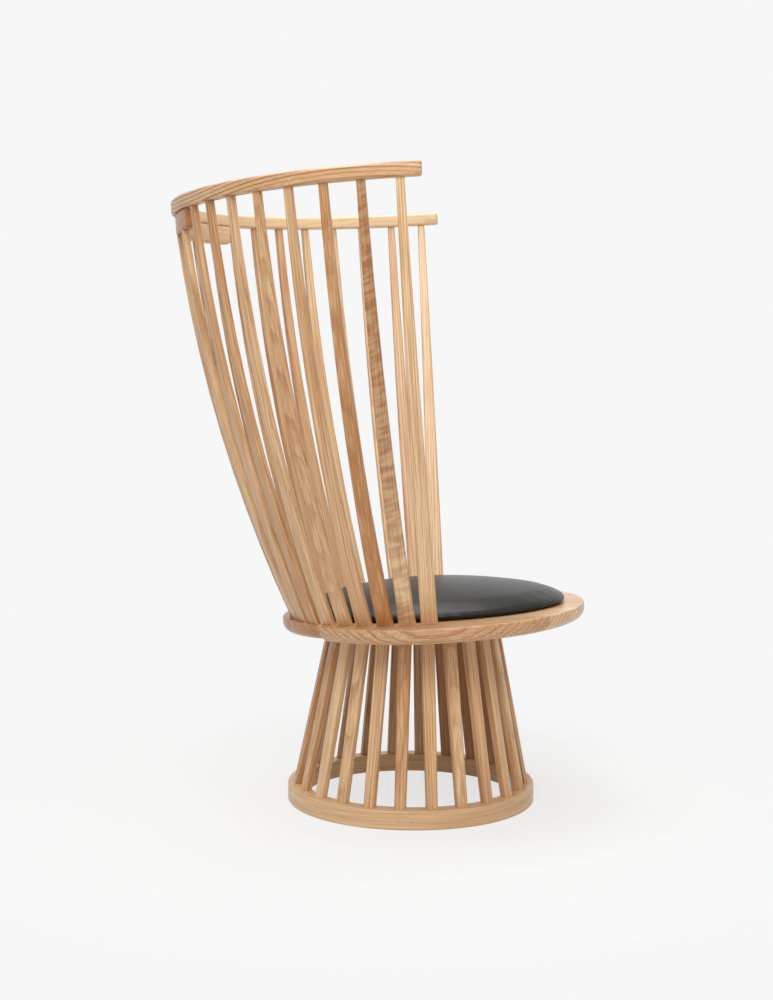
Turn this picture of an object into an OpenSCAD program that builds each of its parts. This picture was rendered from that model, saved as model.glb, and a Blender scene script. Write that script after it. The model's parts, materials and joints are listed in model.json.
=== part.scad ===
// Tall spindle back chair in ash: a ring on the floor, a cage of base spindles that stands on it,
// a round seat with a tail, a round leather pad, and a fan of bent spindles under a bowed crest.
// Millimetres. +Z is up, -Y is the chair's front and +X is the sitter's left.
// Seat, pad, fan and crest are drawn level, in a frame whose origin lies in the seat's top face on
// the base's axis. All of it is then tilted back about that origin.

/* [Base] */
// Outer diameter of the ring on the floor
ring_d = 494; // [440:2:560]
// Width of the ring, across its section
ring_w = 35; // [32:1:50]
// Height of the ring
ring_h = 37; // [32:1:50]
// Rounding of the ring's edges
ring_round = 4; // [1:0.5:6]
// Number of base spindles
base_count = 24; // [18:1:25]
// Turn of the first base spindle from the rear, in degrees
base_turn = 2.4; // [0:0.1:7.5]
// How far the base spindles stand inside the ring's outer edge, to their middle
base_foot_in = 21; // [19:1:23]
// Radius on which the base spindles meet the seat, to their middle
base_head_r = 163; // [154:1:170]
// Width of a base spindle at the ring, along the ring
base_foot_w = 22; // [18:0.5:24]
// Thickness of a base spindle at the ring, across the ring
base_foot_t = 17; // [14:0.5:18]
// Width of a base spindle at the seat, along the circle
base_head_w = 26.5; // [24:0.5:29]
// Thickness of a base spindle at the seat, across the circle
base_head_t = 16; // [16:0.5:22]
// Rounding of a base spindle's long edges at the seat
base_edge = 5; // [2:0.5:6]

/* [Seat] */
// Height of the seat's top face above the floor, on the base's axis
seat_h = 385; // [340:1:440]
// Backward tilt of the seat and all that it carries, in degrees
seat_tilt = 3.5; // [0:0.1:6]
// Diameter of the round seat
seat_d = 584; // [570:2:620]
// Thickness of the seat
seat_t = 30; // [28:1:40]
// How far the round seat's centre lies in front of the base's axis
seat_fore = 51; // [40:1:60]
// Rounding of the seat's upper edge
seat_top_round = 3; // [1:0.5:5]
// Rounding of the seat's lower edge
seat_low_round = 19; // [12:1:22]
// How far behind the base's axis the round seat ends and the narrower tail goes on
tail_start = 165; // [150:1:175]
// Radius of the tail's round end
tail_r = 206; // [200:1:220]
// Bare seat between the rearmost feet and the tail's edge
tail_edge = 16; // [12:1:24]

/* [Pad] */
// Bare seat between the pad and the seat's front edge
pad_margin = 35; // [24:1:60]
// Gap between the pad and the spindles beside and behind it
pad_gap = 2; // [1:0.5:10]
// Height of the pad's rounded side
pad_side = 18; // [14:1:24]
// How far the pad's crown rises above its side
pad_crown = 41; // [30:1:50]
// How far the crown's highest point lies behind the pad's middle
pad_back = 26; // [0:1:30]
// Thickness of the board that stiffens the pad
board_t = 9; // [6:1:12]
// Size of the board as a share of the pad's
board_share = 0.8; // [0.7:0.01:0.85]

/* [Back] */
// Number of back spindles, an odd number: one stands at the rear and the others on both sides
back_count = 21; // [13:2:21]
// Distance from the base's axis to the feet at the sides
foot_side = 226; // [220:1:236]
// Distance from the base's axis to the foot at the rear
foot_rear = 235; // [226:1:245]
// Turn of the first foot round the base's axis from the rear, in degrees
foot_turn = 100.6; // [92:0.1:104]
// Outward bow of the outermost back spindles
bow_side = 32; // [10:1:45]
// Outward bow of the rearmost back spindles
bow_rear = 28; // [10:1:45]
// Width of a back spindle at the seat
back_foot_w = 32.5; // [26:0.5:34]
// Thickness of a back spindle at the seat
back_foot_t = 15; // [15:0.5:20]
// Width of a back spindle at the crest
back_head_w = 14.5; // [12:0.5:17]
// Thickness of a back spindle at the crest
back_head_t = 12.5; // [11:0.5:16]
// Rounding of a back spindle's long edges at the seat
back_edge = 5; // [2:0.5:7]

/* [Crest] */
// Height of the crest rail's underside above the seat, square to the seat
crest_rise = 796.5; // [650:0.5:900]
// Radius of the crest rail's centre line
crest_r = 455; // [420:1:480]
// How far the crest's centre lies in front of the base's axis
crest_fore = 45; // [35:1:60]
// Width of the crest rail
crest_w = 29; // [26:1:36]
// Height of the crest rail
crest_h = 25; // [22:1:32]
// Rounding of the crest rail's edges
crest_round = 5; // [2:0.5:8]
// Turn between the rear and the first back spindle's head, in degrees
head_turn = 90; // [80:0.5:95]
// Length of rail past the first back spindle
crest_over = 37; // [20:1:60]
// Heads on each side of the rear head that end in the block under the rail
block_heads = 2; // [1:1:3]
// Turn from one head to the next in the block, in degrees
block_step = 11.1; // [8:0.1:12]
// Length of block past its last head
block_over = 38; // [20:1:40]
// Height of the block under the rail
block_h = 38; // [30:1:50]
// Width of the block under the rail
block_w = 22; // [20:1:26]

/* [Hidden] */
$fn = 96;

// Clearance of a glued tenon all round, and at its shoulder
glue = 0.1;
// Clearance of a loose fit
loose = 0.3;

// Base spindles' tenons in the ring: diameter and length
ring_tenon_d = 11;
ring_tenon_l = 24;
// Base spindles' tenons in the seat: diameter, and the length of all tenons in the seat
seat_tenon_d = 14;
seat_tenon_l = 20;
// Back spindles' tenons in the seat: diameter
foot_tenon_d = 11;
// Back spindles' tenons in the crest: diameter and length
crest_tenon_d = 9;
crest_tenon_l = 15;
// How far a tenon's cylinder starts inside its own spindle, and its bore outside the face
tenon_root = 6;
// How far a cut starts outside the face that it goes through
cut = 1;

// Screws: diameter of the shank, diameter and height of the head
screw_d = 4;
screw_head_d = 8;
screw_head_h = 2.6;
// The pad's screws: how many, how far they stand inside the base spindles' heads,
// how far they reach into the board, and how deep their heads are sunk in the seat
pad_screw_count = 4;
pad_screw_in = 40;
pad_screw_bite = 7;
pad_sink = 12;
// The block's screws: how far they reach into the rail, and how deep their heads are sunk
block_screw_bite = 14;
block_sink = 10;
// Dowels across the crest's joint: diameter, length, and distance between the two
crest_dowel_d = 6;
crest_dowel_l = 36;
crest_dowel_apart = 13;
// Corners of the pad's outline
pad_corners = 64;

// Places in the level frame of the seat and the back
half_count = (back_count - 1) / 2;
foot_step = foot_turn / half_count;
rail_step = (head_turn - block_heads * block_step) / (half_count - block_heads);
block_turn = block_heads * block_step + turn_of(block_over);
crest_turn = head_turn + turn_of(crest_over);
tail_reach = foot_rear + back_foot_t / 2 + tail_edge;
seat_front = seat_fore + seat_d / 2;
base_foot_r = ring_d / 2 - base_foot_in;

// The chair's box is centred on the origin: the seat's front edge and the crest's rear edge
front_y = -(seat_front - seat_low_round) * cos(seat_tilt)
    - (seat_t - seat_low_round) * sin(seat_tilt) - seat_low_round;
rear_y = (crest_r + crest_w / 2 - crest_round - crest_fore) * cos(seat_tilt)
    + (crest_rise + crest_h - crest_round) * sin(seat_tilt) + crest_round;
axis_y = -(front_y + rear_y) / 2;

function along(a, b, k) = a + (b - a) * k;
function unit(v) = v / norm(v);
function turn_of(length) = length / crest_r * 180 / PI;
function radial(turn) = [sin(turn), cos(turn), 0];
function tilt(p) = [p.x, p.y * cos(seat_tilt) + p.z * sin(seat_tilt),
                    p.z * cos(seat_tilt) - p.y * sin(seat_tilt)];
function untilt(p) = [p.x, p.y * cos(seat_tilt) - p.z * sin(seat_tilt),
                      p.z * cos(seat_tilt) + p.y * sin(seat_tilt)];

module on_axis() translate([0, axis_y, 0]) children();
module on_seat() on_axis() translate([0, 0, seat_h]) rotate([-seat_tilt, 0, 0]) children();

// A cylinder that starts at a point and runs in a direction, with its seam off the rim's long axis
seam_turn = 40;
module rod(start, way, length, d)
    translate(start)
    rotate([0, acos(unit(way).z), atan2(way.y, way.x)])
    rotate([0, 0, seam_turn])
    cylinder(h = length, d = d);

// A rectangle with rounded corners, as points that run anticlockwise, with facets at each corner
corner_count = 3;
function rounded(w, t, r) = [
    for (q = [0:3], k = [0:corner_count])
        let (a = 90 * (q + k / corner_count),
             sx = (q == 0 || q == 3) ? 1 : -1,
             sy = (q < 2) ? 1 : -1)
        [sx * (w / 2 - r) + r * cos(a), sy * (t / 2 - r) + r * sin(a)]];

// A closed solid through sections with as many points each
module loft(sections) {
    n = len(sections[0]);
    last = (len(sections) - 1) * n;
    sides = [for (j = [0:n:last - n], i = [0:n - 1], half = [0, 1])
        let (a = j + i, b = j + (i + 1) % n)
        half == 0 ? [a, b + n, b] : [a, a + n, b + n]];
    start = [for (i = [0:n - 1]) i];
    end = [for (i = [n - 1:-1:0]) last + i];
    polyhedron([for (s = sections) each s], concat(sides, [start], [end]));
}

// Section of a ring or rail with its four edges rounded
module rounded_section(w, h, r) translate([w / 2, h / 2]) polygon(rounded(w, h, r));

// A tenon's two rings: round where it leaves a level shoulder, and square across at its end
function tenon(start, line, side, d, length) =
    let (n = 4 * (corner_count + 1),
         u = unit(side - (side * line) * line),
         v = cross(line, u),
         round = [for (i = [0:n - 1]) let (a = 360 * (i + 0.5) / n) d / 2 * (cos(a) * u + sin(a) * v)])
    [[for (q = round) start + q - q.z / line.z * line], [for (q = round) start + q + length * line]];

// Base: the spindles are numbered from the rear, clockwise as seen from above
function base_way(i) = radial(base_turn + (i - 1) * 360 / base_count);
function base_foot(i) = base_foot_r * base_way(i) + [0, 0, ring_h];
function base_head(i) = base_head_r * base_way(i) - [0, 0, seat_t];
function base_line(i) = unit(tilt(base_head(i)) + [0, 0, seat_h] - base_foot(i));

module base_ring() color("burlywood") on_axis() difference() {
    rotate_extrude() translate([ring_d / 2 - ring_w, 0]) rounded_section(ring_w, ring_h, ring_round);
    for (i = [1:base_count])
        rod(base_foot(i) + tenon_root * base_line(i), -base_line(i),
            tenon_root + ring_tenon_l + glue, ring_tenon_d + 2 * glue);
}

module base_spindle(i) color("tan") on_axis() {
    out = base_way(i);
    side = [out.y, -out.x, 0];
    foot = base_foot(i) + [0, 0, glue];
    head = tilt(base_head(i) - [0, 0, glue]) + [0, 0, seat_h];
    foot_edge = base_edge * base_foot_w / base_head_w;
    loft([[for (p = rounded(base_foot_w, base_foot_t, foot_edge)) foot + p.x * side + p.y * out],
          [for (p = rounded(base_head_w, base_head_t, base_edge))
              head + tilt(p.x * side + p.y * out)]]);
    rod(base_foot(i) + tenon_root * base_line(i), -base_line(i), tenon_root + ring_tenon_l, ring_tenon_d);
    rod(head - tenon_root * base_line(i), base_line(i), tenon_root + seat_tenon_l, seat_tenon_d);
}

// Seat: the round seat and its tail have the same edge
module edge_section(r) {
    translate([0, -seat_t]) square([r - seat_low_round, seat_t]);
    intersection() {
        translate([r - seat_low_round, seat_low_round - seat_t]) circle(seat_low_round);
        translate([0, -seat_t]) square([r, seat_low_round]);
    }
    translate([0, seat_low_round - seat_t]) square([r, seat_t - seat_low_round - seat_top_round]);
    translate([r - seat_top_round, -seat_top_round]) circle(seat_top_round);
    translate([0, -seat_top_round]) square([r - seat_top_round, seat_top_round]);
}

module seat() color("wheat") on_seat() difference() {
    union() {
        intersection() {
            translate([0, -seat_fore, 0]) rotate_extrude() edge_section(seat_d / 2);
            translate([0, tail_start - seat_d, 0]) rotate([90, 0, 90])
                linear_extrude(seat_d, center = true) edge_section(seat_d);
        }
        translate([0, tail_reach - tail_r, 0]) rotate_extrude() edge_section(tail_r);
    }
    for (i = [1:base_count]) {
        line = untilt(base_line(i));
        rod(base_head(i) - tenon_root * line, line,
            tenon_root + seat_tenon_l + glue, seat_tenon_d + 2 * glue);
    }
    for (i = [1:back_count])
        rod(back_foot(i) + tenon_root * foot_line(i), -foot_line(i),
            tenon_root + seat_tenon_l + glue, foot_tenon_d + 2 * glue);
    for (p = pad_screw_places) translate(p) {
        translate([0, 0, -seat_t - cut]) cylinder(h = seat_t + 2 * cut, d = screw_d + 2 * loose);
        translate([0, 0, -seat_t - cut]) cylinder(h = pad_sink + cut, d = screw_head_d + 2 * loose);
    }
}

// Pad: an oval that leaves a bare margin in front and clears the feet beside and behind it
pad_half_w = foot_side * sin(foot_turn) - back_foot_t / 2 - pad_gap;
pad_rear = foot_rear - back_foot_t / 2 - pad_gap;
pad_half_d = (pad_rear + seat_front - pad_margin) / 2;
pad_y = pad_rear - pad_half_d;
pad_screw_places = [for (i = [1:pad_screw_count])
    (base_head_r - pad_screw_in) * radial(360 / pad_screw_count * (i - 0.5))];
function oval(share) = [for (a = [0:360 / pad_corners:359])
    share * [pad_half_w * cos(a), pad_half_d * sin(a)]];
// Rings of the pad as shares of its plan and heights: under its side, round it, and up the crown
pad_rings = concat(
    [[0.965, 0], [0.99, 0.1 * pad_side], [1, 0.4 * pad_side], [0.994, 0.7 * pad_side],
     [0.98, 0.95 * pad_side], [0.955, pad_side + 0.09 * pad_crown]],
    [for (s = [0.86, 0.74, 0.6, 0.45, 0.3, 0.15, 0.05]) [s, pad_side + pad_crown * (1 - s * s)]]);

module seat_pad() color("black") on_seat() translate([0, pad_y, loose]) difference() {
    loft([for (ring = pad_rings) let (back = pad_back * (1 - ring[0]))
        [for (p = oval(ring[0])) [p.x, p.y + back, ring[1]]]]);
    translate([0, 0, -cut]) linear_extrude(board_t + loose + cut)
        polygon(oval(board_share + loose / pad_half_w));
}

module pad_board() color("tan") on_seat() difference() {
    translate([0, pad_y, loose]) linear_extrude(board_t) polygon(oval(board_share));
    for (p = pad_screw_places) translate(p) cylinder(h = pad_screw_bite + loose, d = screw_d + glue);
}

// A screw that points up from the underside of its head
module screw(length) {
    translate([0, 0, -screw_head_h]) cylinder(h = screw_head_h, d = screw_head_d);
    translate([0, 0, -cut]) cylinder(h = length + cut, d = screw_d);
}

module pad_screws() color("silver") on_seat() for (p = pad_screw_places)
    translate(p + [0, 0, pad_sink - seat_t]) screw(seat_t - pad_sink + pad_screw_bite);

// Back: the spindles are numbered from the sitter's right, round the rear to the left
function from_rear(i) = i - 1 - half_count;
function in_block(i) = abs(from_rear(i)) <= block_heads;
function head_at(i) = let (n = from_rear(i))
    in_block(i) ? n * block_step : sign(n) * (head_turn - (half_count - abs(n)) * rail_step);
function back_foot(i) = let (a = from_rear(i) * foot_step) [foot_side * sin(a), foot_rear * cos(a), 0];
function back_head(i) = let (a = head_at(i))
    crest_r * radial(a) + [0, -crest_fore, crest_rise - (in_block(i) ? block_h : 0)];
// The bow lies in the plane of the chord and of the crest's radius at the head
function bow(i) = let (
        up = unit(back_head(i) - back_foot(i)),
        out = radial(head_at(i)),
        push = unit(out - (out * up) * up))
    push * along(bow_rear, bow_side, abs(head_at(i)) / head_turn);
function back_point(i, k) = along(back_foot(i), back_head(i), k) + 4 * k * (1 - k) * bow(i);
function foot_line(i) = unit(back_head(i) - back_foot(i) + 4 * bow(i));
function head_line(i) = unit(back_head(i) - back_foot(i) - 4 * bow(i));

// Sections of a spindle along its bow
bow_count = 10;
module back_spindle(i) color("peru") on_seat() {
    out = radial(head_at(i));
    side = [out.y, -out.x, 0];
    rise = back_head(i).z;
    bar = [for (j = [0:bow_count])
        let (k = j / bow_count,
             mid = back_point(i, along(glue / rise, 1 - glue / rise, k)),
             w = along(back_foot_w, back_head_w, k),
             t = along(back_foot_t, back_head_t, k),
             r = along(back_edge, back_edge * back_head_w / back_foot_w, k))
        [for (p = rounded(w, t, r)) mid + p.x * side + p.y * out]];
    foot = tenon(back_point(i, glue / rise), foot_line(i), side, foot_tenon_d, -seat_tenon_l);
    head = tenon(back_point(i, 1 - glue / rise), head_line(i), side, crest_tenon_d, crest_tenon_l);
    loft(concat([foot[1], foot[0]], bar, head));
}

// Crest: two rails that meet at the rear, with a block under the joint
module on_crest() on_seat() translate([0, -crest_fore, crest_rise]) children();
module head_bores(inside) on_seat() for (i = [1:back_count]) if (in_block(i) == inside)
    rod(back_head(i) - tenon_root * head_line(i), head_line(i),
        tenon_root + crest_tenon_l + glue, crest_tenon_d + 2 * glue);

block_screw_turns = [for (n = [0.5 - block_heads:block_heads - 0.5]) n * block_step];
joint_turn = turn_of(glue / 2);

module crest_rail(way) color("burlywood") difference() {
    on_crest() rotate([0, 0, way > 0 ? 90 - crest_turn : 90 + joint_turn])
        rotate_extrude(angle = crest_turn - joint_turn)
        translate([crest_r - crest_w / 2, 0]) rounded_section(crest_w, crest_h, crest_round);
    head_bores(false);
    on_crest() dowel_holes(glue);
    on_crest() screw_holes(block_h + block_screw_bite + glue, screw_d + glue);
}

module dowel_holes(fit) for (x = [-1, 1])
    translate([-crest_dowel_l / 2 - fit, crest_r + x * crest_dowel_apart / 2, crest_h / 2])
    rotate([0, 90, 0]) cylinder(h = crest_dowel_l + 2 * fit, d = crest_dowel_d + 2 * fit);

// A hole up through the block and into the rail at each screw, from the block's underside
module screw_holes(height, d) for (a = block_screw_turns)
    translate((crest_r - crest_w / 2 + block_w / 2) * radial(a) - [0, 0, block_h + cut])
    cylinder(h = height + cut, d = d);

module crest_dowels() color("navajowhite") on_crest() dowel_holes(0);

module crest_block() color("tan") difference() {
    on_crest() translate([0, 0, -block_h]) rotate([0, 0, 90 - block_turn])
        rotate_extrude(angle = 2 * block_turn)
        translate([crest_r - crest_w / 2, 0]) rounded_section(block_w, block_h - glue, crest_round);
    head_bores(true);
    on_crest() screw_holes(block_h + cut, screw_d + 2 * loose);
    on_crest() screw_holes(block_sink, screw_head_d + 2 * loose);
}

module block_screws() color("silver") on_crest() for (a = block_screw_turns)
    translate((crest_r - crest_w / 2 + block_w / 2) * radial(a) + [0, 0, block_sink - block_h])
    screw(block_h - block_sink + block_screw_bite);

base_ring();
for (i = [1:base_count])
    base_spindle(i);
seat();
seat_pad();
pad_board();
pad_screws();
for (i = [1:back_count])
    back_spindle(i);
crest_rail(1);  // crest_rail_left
crest_rail(-1);  // crest_rail_right
crest_dowels();
crest_block();
block_screws();
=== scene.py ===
"""Spindle back chair in lacquered ash with a round black leather pad.

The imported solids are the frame. Every solid of wood that shows is carried over as a piece of its
own, merged and smoothed, and gets coordinates that follow its grain. The leather pad is modelled
and then filled by a short cloth simulation. A plain pale studio stands round the chair.

Metres. +Z is up, -Y is the chair's front and +X is the sitter's left.
"""

from __future__ import annotations

import json
import logging
import math
import random
from dataclasses import dataclass, field
from enum import Enum

import bpy
import numpy as np
from mathutils import Matrix, Vector

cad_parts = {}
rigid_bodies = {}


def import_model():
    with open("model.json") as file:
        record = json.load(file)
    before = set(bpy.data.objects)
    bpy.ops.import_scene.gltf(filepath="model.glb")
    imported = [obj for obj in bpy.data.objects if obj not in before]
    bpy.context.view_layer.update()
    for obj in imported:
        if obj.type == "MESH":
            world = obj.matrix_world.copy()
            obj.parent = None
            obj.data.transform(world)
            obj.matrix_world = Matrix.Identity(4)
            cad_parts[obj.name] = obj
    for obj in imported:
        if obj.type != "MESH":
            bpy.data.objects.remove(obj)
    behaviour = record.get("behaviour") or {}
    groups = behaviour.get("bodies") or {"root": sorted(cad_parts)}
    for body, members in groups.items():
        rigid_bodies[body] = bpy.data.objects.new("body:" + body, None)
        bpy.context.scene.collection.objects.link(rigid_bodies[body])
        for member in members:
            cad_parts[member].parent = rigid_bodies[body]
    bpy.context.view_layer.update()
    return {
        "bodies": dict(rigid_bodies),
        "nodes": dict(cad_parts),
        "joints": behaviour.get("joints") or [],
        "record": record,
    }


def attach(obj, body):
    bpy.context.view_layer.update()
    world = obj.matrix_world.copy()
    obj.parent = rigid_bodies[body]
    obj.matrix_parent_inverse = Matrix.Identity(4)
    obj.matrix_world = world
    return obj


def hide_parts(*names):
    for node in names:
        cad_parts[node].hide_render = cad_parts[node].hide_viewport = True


Span = tuple[float, float]
Vec3 = tuple[float, float, float]
Rgb = tuple[float, float, float]
Socket = bpy.types.NodeSocket

LOG = logging.getLogger("chair")
BODY = "root"
# the attributes that carry a piece's grain coordinates and its shade
GRAIN, TONE = "grain", "tone"
FLOAT, VECTOR = "NodeSocketFloat", "NodeSocketVector"
PHOTO_SIZE = (773, 1000)
# the axis of the ring, the cage and the seat stands this far in front of the origin
BASE_AXIS_Y = -0.0652


class Cut(Enum):
    """How a board was sawn: the side on which its heart lies, in degrees from its broad face."""

    FLAT = 90.0
    RIFT = 50.0
    QUARTER = 8.0


class Shade(Enum):
    """How dark a piece of ash is, from 0, pale sapwood, to 1, brown heartwood."""

    PALE = 0.08
    CLEAR = 0.32
    HONEY = 0.50
    AMBER = 0.68
    BROWN = 0.92


# ---------------------------------------------------------------- geometry helpers


def deselect_all() -> None:
    """Leaves object mode with nothing selected."""
    if bpy.context.object and bpy.context.object.mode != "OBJECT":
        bpy.ops.object.mode_set(mode="OBJECT")
    bpy.ops.object.select_all(action="DESELECT")


def make_active(piece: bpy.types.Object) -> None:
    """Selects one object alone.

    Args:
        piece: The object that the next operators work on.
    """
    deselect_all()
    piece.select_set(True)
    bpy.context.view_layer.objects.active = piece


def open_mesh(piece: bpy.types.Object, selected: bool = True) -> None:
    """Opens a piece in edit mode.

    Args:
        piece: The piece.
        selected: Whether its whole mesh is selected, or nothing of it.
    """
    make_active(piece)
    bpy.ops.object.mode_set(mode="EDIT")
    bpy.ops.mesh.select_all(action="SELECT" if selected else "DESELECT")


def apply_modifier(piece: bpy.types.Object, kind: str, **settings: object) -> None:
    """Adds a modifier to a piece and applies it.

    Args:
        piece: The object that gets it.
        kind: Blender's type of modifier.
        settings: Its settings by name.
    """
    make_active(piece)
    modifier = piece.modifiers.new(kind.title(), kind)
    for name, value in settings.items():
        setattr(modifier, name, value)
    bpy.ops.object.modifier_apply(modifier=modifier.name)


def points_of(piece: bpy.types.Object) -> np.ndarray:
    """Reads the places of a piece's vertices.

    Args:
        piece: The piece.

    Returns:
        One row for each vertex, in metres.
    """
    flat = np.zeros(len(piece.data.vertices) * 3)
    piece.data.vertices.foreach_get("co", flat)
    return flat.reshape(-1, 3)


def corner_vertices(piece: bpy.types.Object) -> np.ndarray:
    """Reads which vertex each face corner of a piece uses.

    Args:
        piece: The piece.

    Returns:
        The number of a vertex for each face corner.
    """
    index = np.zeros(len(piece.data.loops), np.int32)
    piece.data.loops.foreach_get("vertex_index", index)
    return index


def corner_points(piece: bpy.types.Object) -> np.ndarray:
    """The place of each face corner of a piece, as rows."""
    return points_of(piece)[corner_vertices(piece)]


def carry_over(
    node: bpy.types.Object, name: str, smooth_deg: float = 35.0, merge: float = 1e-5, flat_deg: float = 0.5,
) -> bpy.types.Object:
    """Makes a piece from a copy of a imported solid: merged, in whole faces and smoothed.

    Args:
        node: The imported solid.
        name: The new piece's name.
        smooth_deg: Edges sharper than this stay sharp.
        merge: Vertices closer than this become one.
        flat_deg: Faces that are flatter to each other than this become one.

    Returns:
        The new piece, which has no material yet.
    """
    piece = bpy.data.objects.new(name, node.data.copy())
    piece.data.name = name
    piece.data.materials.clear()
    bpy.context.scene.collection.objects.link(piece)
    open_mesh(piece)
    bpy.ops.mesh.remove_doubles(threshold=merge)
    bpy.ops.mesh.dissolve_limited(angle_limit=math.radians(flat_deg))
    bpy.ops.mesh.customdata_custom_splitnormals_clear()
    bpy.ops.object.mode_set(mode="OBJECT")
    bpy.ops.object.shade_smooth_by_angle(angle=math.radians(smooth_deg))
    apply_modifier(piece, "WEIGHTED_NORMAL", keep_sharp=True)
    return piece


def cut_across(piece: bpy.types.Object, place: Vec3, normal: Vec3) -> None:
    """Adds an edge loop where a plane crosses a piece.

    Args:
        piece: The piece.
        place: A point of the plane.
        normal: The plane's normal.
    """
    open_mesh(piece)
    bpy.ops.mesh.bisect(plane_co=place, plane_no=normal)
    bpy.ops.object.mode_set(mode="OBJECT")


def soften_end(
    piece: bpy.types.Object, place: Vec3, normal: Vec3, size: float,
    segments: int = 3, slack: float = 2e-4, facing: float = 0.999,
) -> None:
    """Rounds the edges of a flat end.

    Args:
        piece: The piece.
        place: A point in the end's face.
        normal: The way the face looks.
        size: The rounding's width.
        segments: The faces across the rounding.
        slack: How far from the point's plane a face of the end may lie.
        facing: The cosine of the angle by which it may be turned away.
    """
    open_mesh(piece, selected=False)
    bpy.ops.object.mode_set(mode="OBJECT")
    way, start = Vector(normal), Vector(place)
    for face in piece.data.polygons:
        face.select = face.normal.dot(way) > facing and abs((face.center - start).dot(way)) < slack
    bpy.ops.object.mode_set(mode="EDIT")
    bpy.ops.mesh.select_mode(type="FACE")
    bpy.ops.mesh.region_to_loop()
    bpy.ops.mesh.bevel(offset=size, segments=segments, affect="EDGES", clamp_overlap=True)
    bpy.ops.object.mode_set(mode="OBJECT")


# ---------------------------------------------------------------- grain coordinates


def write_grain(piece: bpy.types.Object, coordinates: np.ndarray, tone: float | np.ndarray) -> None:
    """Stores grain coordinates for each corner of a piece's faces, and its shade.

    Args:
        piece: The piece of wood.
        coordinates: One row for each face corner: across, through and along the board, in metres.
        tone: The shade, from 0 to 1, for the whole piece or for each of its vertices.
    """
    mesh = piece.data
    layer = mesh.attributes.new(GRAIN, "FLOAT_VECTOR", "CORNER")
    layer.data.foreach_set("vector", coordinates.astype(np.float32).ravel())
    shade = mesh.attributes.new(TONE, "FLOAT", "POINT")
    shade.data.foreach_set("value", np.broadcast_to(np.float32(tone), (len(mesh.vertices),)).copy())


@dataclass(frozen=True)
class Board:
    """The piece of a trunk that a part was sawn from.

    Its heart is so many metres away, its grain leans through it by a share of its length, and it
    starts so many metres up the trunk.
    """

    cut: Cut
    heart: float = 0.06
    lean: float = 0.012
    shift: float = 0.0

    def place(self, local: np.ndarray) -> np.ndarray:
        """Moves board coordinates so that the trunk's heart is their axis.

        Args:
            local: Rows of across, through and along, centred on the board.

        Returns:
            The same rows, measured from the heart.
        """
        angle = math.radians(self.cut.value)
        out = local.copy()
        out[:, 2] += self.shift
        out[:, 0] += self.heart * math.cos(angle)
        out[:, 1] += self.heart * math.sin(angle) + self.lean * local[:, 2]
        return out


@dataclass(frozen=True)
class SpindleStock:
    """The boards that spindles are sawn from, which show long straight lines on most faces."""

    cuts: tuple[Cut, ...] = (Cut.FLAT, Cut.RIFT, Cut.QUARTER, Cut.RIFT, Cut.QUARTER)
    flat_lean: Span = (0.035, 0.06)
    other_lean: Span = (0.0, 0.02)
    heart: Span = (0.09, 0.22)
    shift: Span = (0.0, 20.0)

    def pick(self, chance: random.Random) -> Board:
        """Picks a board.

        Args:
            chance: The seeded source of chance.

        Returns:
            The board.
        """
        cut = chance.choice(self.cuts)
        side = chance.choice((-1, 1))
        lean = side * chance.uniform(*(self.flat_lean if cut is Cut.FLAT else self.other_lean))
        return Board(cut, chance.uniform(*self.heart), lean, chance.uniform(*self.shift))


def bar_grain(piece: bpy.types.Object, board: Board) -> np.ndarray:
    """Grain coordinates of a straight or bent bar, which follow its centre line.

    Args:
        piece: The bar.
        board: What it was sawn from.

    Returns:
        One row for each face corner.
    """
    points = points_of(piece)
    middle = points.mean(0)
    _, _, axes = np.linalg.svd(points - middle, full_matrices=False)
    along = (points - middle) @ axes[0]
    half = np.abs(along).max()
    terms = np.stack([np.ones_like(along), along / half, (along / half) ** 2], 1)
    line, *_ = np.linalg.lstsq(terms, points - middle, rcond=None)
    rest = points - middle - terms @ line
    _, _, cross = np.linalg.svd(rest, full_matrices=False)
    local = np.stack([rest @ cross[0], rest @ cross[1], along], 1)
    return board.place(local)[corner_vertices(piece)]


def ring_grain(piece: bpy.types.Object, centre: Vec3, radius: float, board: Board) -> np.ndarray:
    """Grain coordinates of a bent ring, which follow it round.

    Args:
        piece: The ring.
        centre: Its centre.
        radius: Its middle radius.
        board: What it was bent from.

    Returns:
        One row for each face corner.
    """
    corners = corner_points(piece) - np.array(centre)
    turn = np.arctan2(corners[:, 0], corners[:, 1])
    starts = np.zeros(len(piece.data.polygons), np.int32)
    piece.data.polygons.foreach_get("loop_start", starts)
    sizes = np.diff(np.append(starts, len(turn)))
    first = np.repeat(turn[starts], sizes)
    turn = first + (turn - first + math.pi) % (2 * math.pi) - math.pi
    local = np.stack([corners[:, 2], np.hypot(corners[:, 0], corners[:, 1]) - radius, turn * radius], 1)
    return board.place(local)


def plank_grain(
    piece: bpy.types.Object, centre: Vec3, along: Vec3, through: Vec3, board: Board,
) -> np.ndarray:
    """Grain coordinates of a piece sawn from a straight plank.

    Args:
        piece: The piece.
        centre: The middle of the plank.
        along: The way its grain runs.
        through: The way through its thickness.
        board: What it was sawn from.

    Returns:
        One row for each face corner.
    """
    run = Vector(along).normalized()
    deep = (Vector(through) - Vector(through).dot(run) * run).normalized()
    wide = deep.cross(run)
    corners = corner_points(piece) - np.array(centre)
    local = np.stack([corners @ np.array(wide), corners @ np.array(deep), corners @ np.array(run)], 1)
    return board.place(local)


# ---------------------------------------------------------------- shader helpers


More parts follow.
